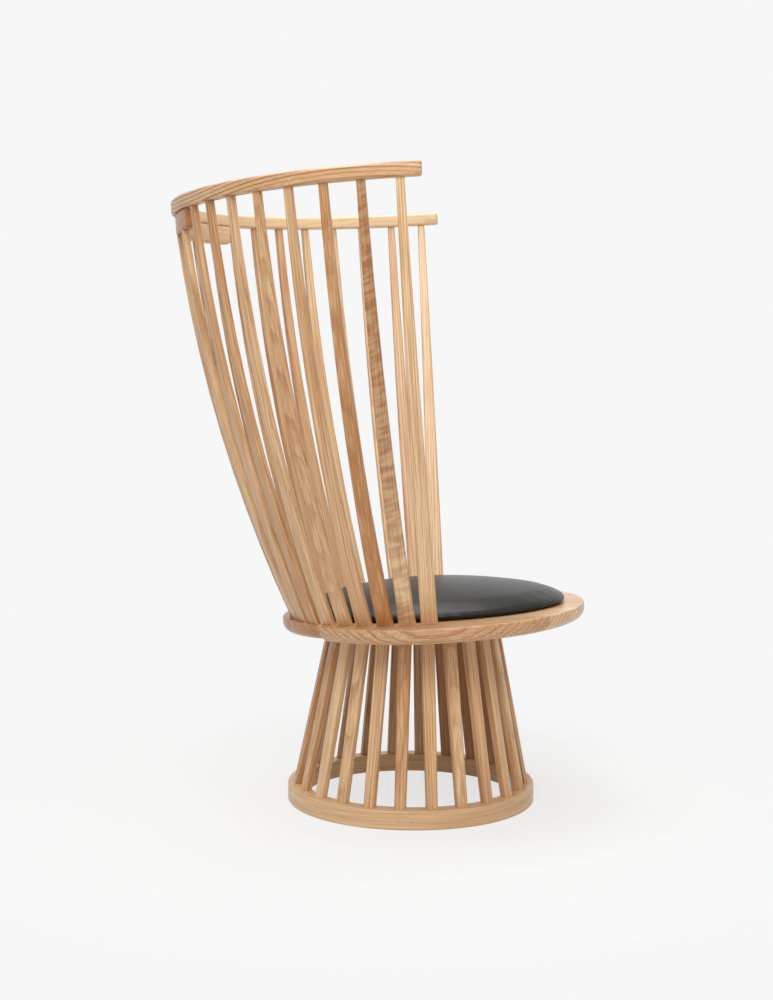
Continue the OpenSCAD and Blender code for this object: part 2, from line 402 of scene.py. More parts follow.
class Nodes:
    """A short way to build a node tree, for a material or for a node group."""

    def __init__(self, tree: bpy.types.NodeTree) -> None:
        """Starts from an empty tree.

        Args:
            tree: The tree, whose nodes are removed.
        """
        self.tree = tree
        tree.nodes.clear()

    def add(self, kind: str, inputs: dict | None = None, **settings: object) -> bpy.types.Node:
        """Adds a node.

        Args:
            kind: Its type, without the prefix ShaderNode.
            inputs: A value or an output socket for each named or numbered input.
            settings: The node's own settings.

        Returns:
            The new node.
        """
        name = kind if kind.startswith("Node") else "ShaderNode" + kind
        node = self.tree.nodes.new(name)
        for key, value in settings.items():
            setattr(node, key, value)
        for key, value in (inputs or {}).items():
            if isinstance(value, bpy.types.NodeSocket):
                self.tree.links.new(value, node.inputs[key])
            else:
                node.inputs[key].default_value = value
        return node

    def math(self, operation: str, *values: object, clamp: bool = False) -> Socket:
        """A Math node's result."""
        node = self.add("Math", dict(enumerate(values)), operation=operation, use_clamp=clamp)
        return node.outputs[0]

    def vector(self, operation: str, *values: object) -> Socket:
        """A Vector Math node's vector result."""
        return self.add("VectorMath", dict(enumerate(values)), operation=operation).outputs["Vector"]

    def length(self, vector: Socket) -> Socket:
        """The length of a vector."""
        return self.add("VectorMath", {0: vector}, operation="LENGTH").outputs["Value"]

    def centred(self, value: Socket) -> Socket:
        """A value from 0 to 1, moved to run from -0.5 to 0.5."""
        return self.math("SUBTRACT", value, 0.5)

    def noise(self, vector: Socket, scale: float, detail: float, rough: float = 0.5) -> Socket:
        """A Noise node's factor."""
        inputs = {"Vector": vector, "Scale": scale, "Detail": detail, "Roughness": rough}
        return self.add("TexNoise", inputs).outputs["Fac"]

    def stretched(self, vector: Socket, stretch: Vec3, detail: float, rough: float = 0.5) -> Socket:
        """Noise with its own number of waves a metre along each axis."""
        return self.noise(self.vector("MULTIPLY", vector, stretch), 1.0, detail, rough)

    def chance(self, number: Socket) -> bpy.types.Node:
        """A White Noise node, with a value and a colour for each whole number."""
        return self.add("TexWhiteNoise", {"W": number}, noise_dimensions="1D")

    def ramp(
        self, value: Socket, low: float, high: float, to_low: float = 0.0, to_high: float = 1.0,
    ) -> Socket:
        """A smooth step from one value to another."""
        inputs = {"Value": value, "From Min": low, "From Max": high, "To Min": to_low, "To Max": to_high}
        return self.add("MapRange", inputs, interpolation_type="SMOOTHSTEP").outputs["Result"]

    def mix(self, factor: Socket, first: Socket | Rgb, second: Socket | Rgb) -> Socket:
        """A colour between two colours."""
        ends = [end if isinstance(end, bpy.types.NodeSocket) else (*end, 1.0) for end in (first, second)]
        return self.add("Mix", {0: factor, 6: ends[0], 7: ends[1]}, data_type="RGBA").outputs[2]

    def group(self, tree: bpy.types.NodeTree, inputs: dict) -> bpy.types.Node:
        """A node group, placed with its own values."""
        return self.add("Group", inputs, node_tree=tree)

    def bump(self, height: Socket, strength: float, distance: float, invert: bool = False) -> Socket:
        """A Bump node's normal."""
        inputs = {"Height": height, "Strength": strength, "Distance": distance}
        return self.add("Bump", inputs, invert=invert).outputs["Normal"]

    def principled(self, inputs: dict) -> None:
        """Ends a material in a Principled shader."""
        shader = self.add("BsdfPrincipled", inputs)
        self.add("OutputMaterial", {"Surface": shader.outputs["BSDF"]})


def new_material(name: str) -> tuple[bpy.types.Material, Nodes]:
    """Starts a material.

    Args:
        name: Its name.

    Returns:
        The material and the builder of its node tree.
    """
    material = bpy.data.materials.new(name)
    material.use_nodes = True
    return material, Nodes(material.node_tree)


def new_group(
    name: str, inputs: dict[str, tuple[str, object]], outputs: dict[str, str],
) -> tuple[Nodes, bpy.types.Node, bpy.types.Node]:
    """Starts a shader node group.

    Args:
        name: The group's name.
        inputs: A socket type and a default for each input.
        outputs: A socket type for each output.

    Returns:
        The builder, the group's input node and its output node.
    """
    tree = bpy.data.node_groups.new(name, "ShaderNodeTree")
    build = Nodes(tree)
    for label, (kind, default) in inputs.items():
        socket = tree.interface.new_socket(label, in_out="INPUT", socket_type=kind)
        if default is not None:
            socket.default_value = default
    for label, kind in outputs.items():
        tree.interface.new_socket(label, in_out="OUTPUT", socket_type=kind)
    return build, build.add("NodeGroupInput"), build.add("NodeGroupOutput")


# ---------------------------------------------------------------- finishes


@dataclass
class GrainGroups:
    """The node groups that the wooden finishes share.

    The patterns are given in waves a metre across, through and along the board.
    """

    sway: Vec3 = (7.0, 7.0, 1.3)
    ripple: Vec3 = (60.0, 60.0, 4.0)
    curl: Vec3 = (30.0, 30.0, 80.0)
    streak: Vec3 = (380.0, 380.0, 6.0)
    streak_rough: float = 0.6
    pore: Vec3 = (1500.0, 1500.0, 110.0)
    # how far sway and ripple move a ring, as multiples of the finish's waver
    sway_reach: float = 4.0
    ripple_reach: float = 0.16
    # where a ring's dark line has faded out and where the next one rises, as shares of a year
    fade_end: float = 0.5
    rise_start: float = 0.90
    faintest_line: float = 0.35
    # the noise at which pores open, the line's strength at which they crowd, and how many stay elsewhere
    pore_edges: Span = (0.56, 0.70)
    crowd_edges: Span = (0.15, 0.8)
    elsewhere: float = 0.12
    rings: bpy.types.NodeTree = field(init=False)
    fibre: bpy.types.NodeTree = field(init=False)

    def __post_init__(self) -> None:
        """Builds both groups once."""
        self.rings = self._rings()
        self.fibre = self._fibre()

    def _rings(self) -> bpy.types.NodeTree:
        """Growth rings round the trunk's heart: a porous dark line that fades into late wood.

        Returns:
            The node group.
        """
        inputs = {
            "Grain": (VECTOR, None), "Spacing": (FLOAT, 0.004), "Waver": (FLOAT, 0.006), "Curl": (FLOAT, 0.0),
        }
        build, given, result = new_group("growth_rings", inputs, {"Line": FLOAT, "Broad": FLOAT})
        grain, waver = given.outputs["Grain"], given.outputs["Waver"]
        sway = build.centred(build.stretched(grain, self.sway, detail=2.0))
        ripple = build.centred(build.stretched(grain, self.ripple, detail=1.0))
        curl = build.centred(build.stretched(grain, self.curl, detail=1.0))
        reach = build.length(build.vector("MULTIPLY", grain, (1.0, 1.0, 0.0)))
        reach = build.math("MULTIPLY_ADD", sway, build.math("MULTIPLY", waver, self.sway_reach), reach)
        reach = build.math("MULTIPLY_ADD", ripple, build.math("MULTIPLY", waver, self.ripple_reach), reach)
        reach = build.math("MULTIPLY_ADD", curl, given.outputs["Curl"], reach)
        year = build.math("DIVIDE", reach, given.outputs["Spacing"])
        part = build.math("FRACT", year)
        fade = build.ramp(part, 0.0, self.fade_end, 1.0, 0.0)
        rise = build.ramp(part, self.rise_start, 1.0)
        luck = build.chance(build.math("FLOOR", year)).outputs["Value"]
        bold = build.math("MULTIPLY_ADD", luck, 1.0 - self.faintest_line, self.faintest_line)
        line = build.math("MULTIPLY", build.math("MAXIMUM", fade, rise), bold)
        build.tree.links.new(line, result.inputs["Line"])
        build.tree.links.new(sway, result.inputs["Broad"])
        return build.tree

    def _fibre(self) -> bpy.types.NodeTree:
        """Fine streaks and short open pores along the grain.

        Returns:
            The node group.
        """
        build, given, result = new_group(
            "fibre_and_pores",
            {"Grain": (VECTOR, None), "Line": (FLOAT, 0.0)},
            {"Streak": FLOAT, "Pore": FLOAT},
        )
        grain = given.outputs["Grain"]
        streak = build.stretched(grain, self.streak, detail=3.0, rough=self.streak_rough)
        dots = build.stretched(grain, self.pore, detail=1.0)
        near = build.ramp(given.outputs["Line"], *self.crowd_edges, self.elsewhere, 1.0)
        pore = build.math("MULTIPLY", build.ramp(dots, *self.pore_edges), near)
        build.tree.links.new(streak, result.inputs["Streak"])
        build.tree.links.new(pore, result.inputs["Pore"])
        return build.tree


@dataclass(frozen=True)
class AshFinish:
    """Lacquered ash: pale late wood, brown porous lines, and a shade of its own for each piece."""

    name: str = "lacquered_ash"
    pale: Rgb = (0.80, 0.56, 0.32)
    deep: Rgb = (0.43, 0.180, 0.053)
    line: Rgb = (0.36, 0.145, 0.042)
    pore: Rgb = (0.17, 0.075, 0.030)
    # the growth rings, in metres
    spacing: float = 0.0042
    waver: float = 0.0045
    curl: float = 0.0
    # how strongly each part of the pattern shows
    line_strength: float = 0.6
    streaks: float = 2.2
    clouds: float = 1.0
    pores: float = 0.45
    flames: float = 0.0
    # the lacquer, which is duller on the lines
    roughness: float = 0.42
    line_dullness: float = 0.10
    specular: float = 0.4
    coat: float = 0.28
    coat_roughness: float = 0.30
    # the relief: the lines' depth against the pores', and both together
    line_relief: float = 0.5
    relief: float = 0.12
    relief_depth: float = 0.0004
    # the waves of curly wood: their slant, their number a metre, and the noise where they turn dark
    flame_slant: float = 0.35
    flame_waves: Vec3 = (26.0, 26.0, 95.0)
    flame_edges: Span = (0.36, 0.64)
    # the planks of a slab: how far their shades differ and how far their coordinates jump
    plank_width: float = 0.0
    plank_contrast: float = 0.30
    plank_jump: Vec3 = (0.05, 0.04, 3.0)
    plank_start: Vec3 = (0.045, 0.05, 0.0)

    def material(self, groups: GrainGroups) -> bpy.types.Material:
        """Builds the material.

        Args:
            groups: The shared node groups.

        Returns:
            The finished material.
        """
        material, build = new_material(self.name)
        grain = build.add("Attribute", attribute_name=GRAIN).outputs["Vector"]
        tone = build.add("Attribute", attribute_name=TONE).outputs["Fac"]
        if self.plank_width:
            grain, plank = self._planks(build, grain)
            tone = build.math("MULTIPLY_ADD", plank, self.plank_contrast, tone, clamp=True)
        rings = build.group(groups.rings, {
            "Grain": grain, "Spacing": self.spacing, "Waver": self.waver, "Curl": self.curl,
        })
        line = rings.outputs["Line"]
        fibre = build.group(groups.fibre, {"Grain": grain, "Line": line})
        pore = fibre.outputs["Pore"]
        depth = build.math("MULTIPLY_ADD", build.centred(fibre.outputs["Streak"]), self.streaks, tone)
        if self.flames:
            depth = build.math("MULTIPLY_ADD", self._flames(build, grain), self.flames, depth)
        depth = build.math("MULTIPLY_ADD", rings.outputs["Broad"], self.clouds, depth, clamp=True)
        body = build.mix(depth, self.pale, self.deep)
        lined = build.mix(build.math("MULTIPLY", line, self.line_strength), body, self.line)
        height = build.math("ADD", pore, build.math("MULTIPLY", line, self.line_relief))
        build.principled({
            "Base Color": build.mix(build.math("MULTIPLY", pore, self.pores), lined, self.pore),
            "Roughness": build.math("MULTIPLY_ADD", line, self.line_dullness, self.roughness),
            "Normal": build.bump(height, self.relief, self.relief_depth, invert=True),
            "Specular IOR Level": self.specular,
            "Coat Weight": self.coat,
            "Coat Roughness": self.coat_roughness,
        })
        return material

    def _flames(self, build: Nodes, grain: Socket) -> Socket:
        """Short slanting waves across the grain, as in curly wood.

        Args:
            build: The material's builder.
            grain: The piece's grain coordinates.

        Returns:
            A value from -0.5 to 0.5.
        """
        split = build.add("SeparateXYZ", {0: grain})
        across, through = split.outputs["X"], split.outputs["Y"]
        along = build.math("MULTIPLY_ADD", across, self.flame_slant, split.outputs["Z"])
        bent = build.add("CombineXYZ", {0: across, 1: through, 2: along}).outputs[0]
        waves = build.stretched(bent, self.flame_waves, detail=1.5)
        return build.centred(build.ramp(waves, *self.flame_edges))

    def _planks(self, build: Nodes, grain: Socket) -> tuple[Socket, Socket]:
        """Divides a slab into glued planks, each from another part of a trunk.

        Args:
            build: The material's builder.
            grain: The slab's grain coordinates.

        Returns:
            Coordinates that jump at each joint, and a value from -0.5 to 0.5 for each plank.
        """
        split = build.add("SeparateXYZ", {0: grain})
        number = build.math("FLOOR", build.math("DIVIDE", split.outputs["X"], self.plank_width))
        chance = build.chance(number)
        middle = build.math("MULTIPLY", build.math("ADD", number, 0.5), self.plank_width)
        across = build.math("SUBTRACT", split.outputs["X"], middle)
        jump = build.vector("MULTIPLY_ADD", chance.outputs["Color"], self.plank_jump, self.plank_start)
        through, along = split.outputs["Y"], split.outputs["Z"]
        base = build.add("CombineXYZ", {0: across, 1: through, 2: along}).outputs[0]
        return build.vector("ADD", base, jump), build.centred(chance.outputs["Value"])


@dataclass(frozen=True)
class LeatherFinish:
    """Smooth black leather with a fine grain and a soft grey sheen."""

    name: str = "black_leather"
    colour: Rgb = (0.007, 0.0068, 0.0065)
    worn: Rgb = (0.013, 0.0122, 0.012)
    # the clouds of wear: their number a metre, and the noise where they begin and end
    wear: float = 9.0
    wear_edges: Span = (0.35, 0.75)
    # the sheen
    roughness: float = 0.31
    dullness: float = 0.10
    specular: float = 0.25
    sheen: Rgb = (1.0, 0.955, 0.92)
    # the pebbles: their number a metre, the creases between them, and a finer grain on them
    pebble: float = 620.0
    crease: float = 0.16
    fineness: float = 2.2
    fine_relief: float = 0.35
    relief: float = 0.10
    relief_depth: float = 0.0003

    def material(self) -> bpy.types.Material:
        """Builds the material, whose grain is pebbled by cells at two sizes.

        Returns:
            The finished material.
        """
        material, build = new_material(self.name)
        place = build.add("TexCoord").outputs["Object"]
        cells = build.add("TexVoronoi", {"Vector": place, "Scale": self.pebble}, feature="DISTANCE_TO_EDGE")
        crease = build.ramp(cells.outputs["Distance"], 0.0, self.crease)
        fine = build.noise(place, self.pebble * self.fineness, detail=2.0)
        cloud = build.noise(place, self.wear, detail=3.0)
        height = build.math("MULTIPLY_ADD", fine, self.fine_relief, crease)
        build.principled({
            "Base Color": build.mix(build.ramp(cloud, *self.wear_edges), self.colour, self.worn),
            "Roughness": build.math("MULTIPLY_ADD", cloud, self.dullness, self.roughness - self.dullness / 2),
            "Normal": build.bump(height, self.relief, self.relief_depth),
            "Specular IOR Level": self.specular,
            "Specular Tint": (*self.sheen, 1.0),
        })
        return material


@dataclass(frozen=True)
class SteelFinish:
    """Zinc plated screws with the marks of turning."""

    name: str = "plated_steel"
    colour: Rgb = (0.52, 0.52, 0.53)
    shadow: float = 0.8
    roughness: float = 0.38
    dullness: float = 0.2
    marks: Vec3 = (900.0, 900.0, 4000.0)
    relief: float = 0.1
    relief_depth: float = 0.0001

    def material(self) -> bpy.types.Material:
        """Builds the material.

        Returns:
            The finished material.
        """
        material, build = new_material(self.name)
        marks = build.stretched(build.add("TexCoord").outputs["Object"], self.marks, detail=3.0)
        dark = tuple(self.shadow * part for part in self.colour)
        build.principled({
            "Base Color": build.mix(marks, self.colour, dark),
            "Roughness": build.math("MULTIPLY_ADD", marks, self.dullness, self.roughness - self.dullness / 2),
            "Normal": build.bump(marks, self.relief, self.relief_depth),
            "Metallic": 1.0,
        })
        return material


@dataclass(frozen=True)
class BoardFinish:
    """Bare wood that stays inside the chair: a plywood board or plain dowels."""

    name: str
    colour: Rgb = (0.60, 0.44, 0.27)
    shadow: float = 0.7
    roughness: float = 0.7
    fibre: Vec3 = (30.0, 500.0, 500.0)
    relief: float = 0.2
    relief_depth: float = 0.0003

    def material(self) -> bpy.types.Material:
        """Builds the material, with layers and fibres on Object coordinates.

        Returns:
            The finished material.
        """
        material, build = new_material(self.name)
        fibre = build.stretched(build.add("TexCoord").outputs["Object"], self.fibre, detail=3.0)
        dark = tuple(self.shadow * part for part in self.colour)
        build.principled({
            "Base Color": build.mix(fibre, self.colour, dark),
            "Roughness": self.roughness,
            "Normal": build.bump(fibre, self.relief, self.relief_depth),
        })
        return material


ASH = AshFinish()
SEAT_ASH = AshFinish(
    name="lacquered_ash_planks", deep=(0.34, 0.122, 0.026), plank_width=0.098, line_strength=0.85,
    spacing=0.0085, waver=0.008, curl=0.004, streaks=1.4, coat=0.5, coat_roughness=0.2,
)
PLAIN_ASH = AshFinish(name="lacquered_ash_plain", spacing=0.011, line_strength=0.15, streaks=1.3)
RAIL_ASH = AshFinish(
    name="lacquered_ash_rail", line=(0.30, 0.11, 0.028), line_strength=1.0, spacing=0.0072,
    waver=0.003, streaks=1.2, pores=0.3,
)
FIGURED_ASH = AshFinish(
    name="lacquered_ash_figured", deep=(0.30, 0.115, 0.034), flames=0.34, line_strength=0.35,
    spacing=0.0040, pores=0.2, streaks=1.2,
)


# ---------------------------------------------------------------- the chair


@dataclass
class SeatFrame:
    """The tilted frame of the seat and the back: its origin is in the seat's top face."""

    axis_y: float = BASE_AXIS_Y
    seat_h: float = 0.385
    tilt_deg: float = 3.5

    def matrix(self) -> Matrix:
        """Turns a place in the seat's frame into a place in the chair's."""
        lift = Matrix.Translation((0.0, self.axis_y, self.seat_h))
        return lift @ Matrix.Rotation(math.radians(-self.tilt_deg), 4, "X")

    def point(self, x: float, y: float, z: float) -> Vec3:
        """A place in the chair's frame."""
        return tuple(self.matrix() @ Vector((x, y, z)))

    def way(self, x: float, y: float, z: float) -> Vec3:
        """A direction in the chair's frame."""
        return tuple(self.matrix().to_3x3() @ Vector((x, y, z)))


def finish_piece(piece: bpy.types.Object, material: bpy.types.Material, node: str) -> None:
    """Dresses a piece, ties it to the chair and lets it stand for its solid.

    Args:
        piece: The piece.
        material: What it is made of.
        node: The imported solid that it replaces.
    """
    piece.data.materials.clear()
    piece.data.materials.append(material)
    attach(piece, BODY)
    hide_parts(node)
    LOG.info("%s: %d faces, for %s", piece.name, len(piece.data.polygons), node)


@dataclass
class RingBase:
    """The ring on the floor and the cage of tapered spindles that stands on it."""

    nodes: dict[str, bpy.types.Object]
    axis_y: float = BASE_AXIS_Y
    ring_radius: float = 0.2295
    ring_height: float = 0.037
    ring_board: Board = Board(Cut.RIFT, heart=0.07, lean=0.02)
    seed: int = 11
    shades: tuple[Shade, ...] = (Shade.HONEY, Shade.AMBER, Shade.BROWN)
    spread: float = 0.05
    # the shades of the spindles nearest the camera, by number
    near_shades: tuple[tuple[int, Shade], ...] = (
        (15, Shade.AMBER), (16, Shade.HONEY), (17, Shade.HONEY), (18, Shade.HONEY), (19, Shade.AMBER),
        (20, Shade.HONEY), (21, Shade.CLEAR), (22, Shade.CLEAR), (23, Shade.HONEY), (24, Shade.AMBER),
    )

    def build(self, plain: bpy.types.Material, ash: bpy.types.Material) -> None:
        """Makes the ring and its spindles.

        Args:
            plain: The ring's finish.
            ash: The spindles' finish.
        """
        ring = carry_over(self.nodes["base_ring"], "floor_ring", smooth_deg=40.0)
        centre = (0.0, self.axis_y, self.ring_height / 2)
        write_grain(ring, ring_grain(ring, centre, self.ring_radius, self.ring_board), Shade.CLEAR.value)
        finish_piece(ring, plain, "base_ring")
        chance = random.Random(self.seed)
        near = dict(self.near_shades)
        for name in sorted(n for n in self.nodes if n.startswith("base_spindle_")):
            spindle = carry_over(self.nodes[name], name.replace("base_spindle", "cage_spindle"))
            board = SpindleStock().pick(chance)
            shade = chance.choice(self.shades)
            shade = near.get(int(name.rsplit("_", 1)[1]), shade)
            tone = shade.value + chance.uniform(-self.spread, self.spread)
            write_grain(spindle, bar_grain(spindle, board), tone)
            finish_piece(spindle, ash, name)


@dataclass
class RoundSeat:
    """The round seat with its narrower tail, glued up from planks that run from front to back."""

    nodes: dict[str, bpy.types.Object]
    place: SeatFrame
    board: Board = Board(Cut.FLAT, heart=0.0, lean=0.02)
    tail_start: float = 0.165
    joint: float = 0.0004

    def build(self, planks: bpy.types.Material) -> None:
        """Makes the seat, whose tail is painted darker as painted shade under the spindles that lean over it.

        Args:
            planks: Its finish.
        """
        seat = carry_over(self.nodes["seat"], "round_seat", smooth_deg=30.0)
        back, up = self.place.way(0.0, 1.0, 0.0), self.place.way(0.0, 0.0, 1.0)
        cut_across(seat, self.place.point(0.0, self.tail_start, 0.0), back)
        grain = plank_grain(seat, self.place.point(0.0, 0.0, 0.0), back, up, self.board)
        # the tail behind the shoulder gets a darker shade: painted shade where the leaning spindles shadow it
        start = self.place.point(0.0, self.tail_start + self.joint, 0.0)
        shaded_tail = (points_of(seat) - np.array(start)) @ np.array(back) > 0
        write_grain(seat, grain, np.where(shaded_tail, Shade.BROWN.value, Shade.HONEY.value))
        finish_piece(seat, planks, "seat")


@dataclass
class BackFan:
    """The fan of bent spindles, from the sitter's right round the rear to the left."""

    nodes: dict[str, bpy.types.Object]
    seed: int = 5
    shades: tuple[Shade, ...] = (Shade.CLEAR, Shade.HONEY, Shade.PALE)
    spread: float = 0.06
    # the shades of the spindles that the photograph shows best, by number
    near_shades: tuple[tuple[int, Shade], ...] = (
        (1, Shade.CLEAR), (3, Shade.BROWN), (4, Shade.HONEY), (5, Shade.HONEY), (6, Shade.HONEY),
        (7, Shade.AMBER), (8, Shade.HONEY), (9, Shade.HONEY), (10, Shade.CLEAR), (11, Shade.CLEAR),
    )
    # the spindle with curly grain, and how its shade runs from its pale foot to its brown upper half
    figured_number: int = 2
    figured_board: Board = Board(Cut.FLAT, heart=0.14, lean=0.006, shift=7.3)
    figured_heights: Vec3 = (0.60, 0.97, 1.12)
    figured_tones: Vec3 = (0.36, 0.86, 0.72)

    def build(self, ash: bpy.types.Material, figured: bpy.types.Material) -> None:
        """Makes the spindles.

        Args:
            ash: Their finish.
            figured: The finish of the one with curly grain.
        """
        chance = random.Random(self.seed)
        near = dict(self.near_shades)
        count = sum(name.startswith("back_spindle_") for name in self.nodes)
        for number in range(1, count + 1):
            node = f"back_spindle_{number}"
            spindle = carry_over(self.nodes[node], f"fan_spindle_{number}")
            board = SpindleStock().pick(chance)
            tone = chance.choice(self.shades).value + chance.uniform(-self.spread, self.spread)
            finish = ash
            if number in near:
                tone = near[number].value
            if number == self.figured_number:
                board, finish = self.figured_board, figured
                tone = np.interp(points_of(spindle)[:, 2], self.figured_heights, self.figured_tones)
            write_grain(spindle, bar_grain(spindle, board), tone)
            finish_piece(spindle, finish, node)


@dataclass
class CrestRail:
    """The bowed crest in two halves, sawn from straight planks, with the block under their joint."""

    nodes: dict[str, bpy.types.Object]
    place: SeatFrame
    # the centre line of the rails' underside, in the seat's frame
    rise: float = 0.7965
    radius: float = 0.455
    fore: float = 0.045
    end_turn_deg: float = 94.659
    end_round: float = 0.0035
    # how the rails lie in their planks
    slant: float = -0.2
    slope: float = 0.13
    heart: float = -0.55
    shift: float = 1.7
    # from where to where the near rail darkens, in front of the seat's middle
    near_span: Span = (-0.35, 0.08)
    # the block, its grain, and from where to where it pales towards the sitter's left
    block_turn_deg: float = 26.985
    block_height: float = 0.038
    block_middle: float = 0.02
    block_slope: float = 0.3
    block_board: Board = Board(Cut.RIFT, heart=0.06)
    block_span: Span = (-0.17, 0.08)
    # the rounding of the block's lower corners, and where it is cut, as shares of its radius
    corner: float = 0.011
    corner_cuts: tuple[float, ...] = (1.0, 0.8, 0.6, 0.42, 0.26, 0.13, 0.04)
    corner_slack: float = 1e-4

    def _end(self, turn_deg: float) -> tuple[Vec3, Vec3]:
        """A point of the crest's centre line, and the way past it.

        Args:
            turn_deg: The turn from the rear, positive to the sitter's left.

        Returns:
            The point at the rail's underside, and the direction.
        """
        turn = math.radians(turn_deg)
        across, back = self.radius * math.sin(turn), self.radius * math.cos(turn) - self.fore
        side = math.copysign(1.0, turn)
        past = self.place.way(side * math.cos(turn), -side * math.sin(turn), 0.0)
        return self.place.point(across, back, self.rise), past

    def _round_corner(self, block: bpy.types.Object, side: int) -> None:
        """Rounds the lower corner at one end of the block.

        Args:
            block: The block.
            side: 1 for the sitter's left, -1 for the right.
        """
        end, way = self._end(side * self.block_turn_deg)
        ahead = Vector(way)
        for share in self.corner_cuts:
            cut_across(block, tuple(Vector(end) - share * self.corner * ahead), way)
        local = self.place.matrix().inverted()
        floor = self.rise - self.block_height
        for vertex in block.data.vertices:
            depth = (Vector(end) - vertex.co).dot(ahead)
            if -self.corner_slack < depth < self.corner:
                reach = self.corner - max(depth, 0.0)
                lift = floor + self.corner - math.sqrt(self.corner**2 - reach**2)
                spot = local @ vertex.co
                if spot.z < lift:
                    spot.z = lift
                    vertex.co = self.place.matrix() @ spot

    def _near_tone(self, rail: bpy.types.Object) -> np.ndarray:
        """The near rail's shade, darker towards its front end.

        Args:
            rail: The rail.

        Returns:
            A shade for each vertex.
        """
        front, middle = self.place.way(0.0, -1.0, 0.0), self.place.point(0.0, 0.0, 0.0)
        ahead = (points_of(rail) - np.array(middle)) @ np.array(front)
        return np.interp(ahead, self.near_span, (Shade.CLEAR.value, Shade.AMBER.value))

    def _build_block(self, plain: bpy.types.Material) -> None:
        """Makes the block, brown at the sitter's right and paler to the left.

        Args:
            plain: Its finish.
        """
        block = carry_over(self.nodes["crest_block"], "joint_block", smooth_deg=40.0)
        for side in (-1, 1):
            self._round_corner(block, side)
        centre = self.place.point(0.0, self.radius - self.fore, self.rise - self.block_middle)
        along, through = self.place.way(1.0, 0.0, 0.0), self.place.way(0.0, self.block_slope, 1.0)
        grain = plank_grain(block, centre, along, through, self.block_board)
        ends = (Shade.BROWN.value, Shade.CLEAR.value)
        write_grain(block, grain, np.interp(points_of(block)[:, 0], self.block_span, ends))
        finish_piece(block, plain, "crest_block")

    def build(self, lined: bpy.types.Material, plain: bpy.types.Material) -> None:
        """Makes both rails and the block.

        Args:
            lined: The finish of the near rail.
            plain: The finish of the far rail and the block.
        """
        for side, node in ((-1, "crest_rail_right"), (1, "crest_rail_left")):
            rail = carry_over(self.nodes[node], node.replace("crest_", "bowed_"), smooth_deg=40.0)
            soften_end(rail, *self._end(side * self.end_turn_deg), self.end_round)
            centre = self.place.point(side * self.radius / 2, self.radius / 2 - self.fore, self.rise)
            along = self.place.way(side * self.slant, 1.0, 0.0)
            through = self.place.way(0.0, self.slope, 1.0)
            board = Board(Cut.FLAT, heart=self.heart, lean=0.0, shift=side * self.shift)
            tone, finish = (self._near_tone(rail), lined) if side < 0 else (Shade.PALE.value, plain)
            write_grain(rail, plank_grain(rail, centre, along, through, board), tone)
            finish_piece(rail, finish, node)
        self._build_block(plain)


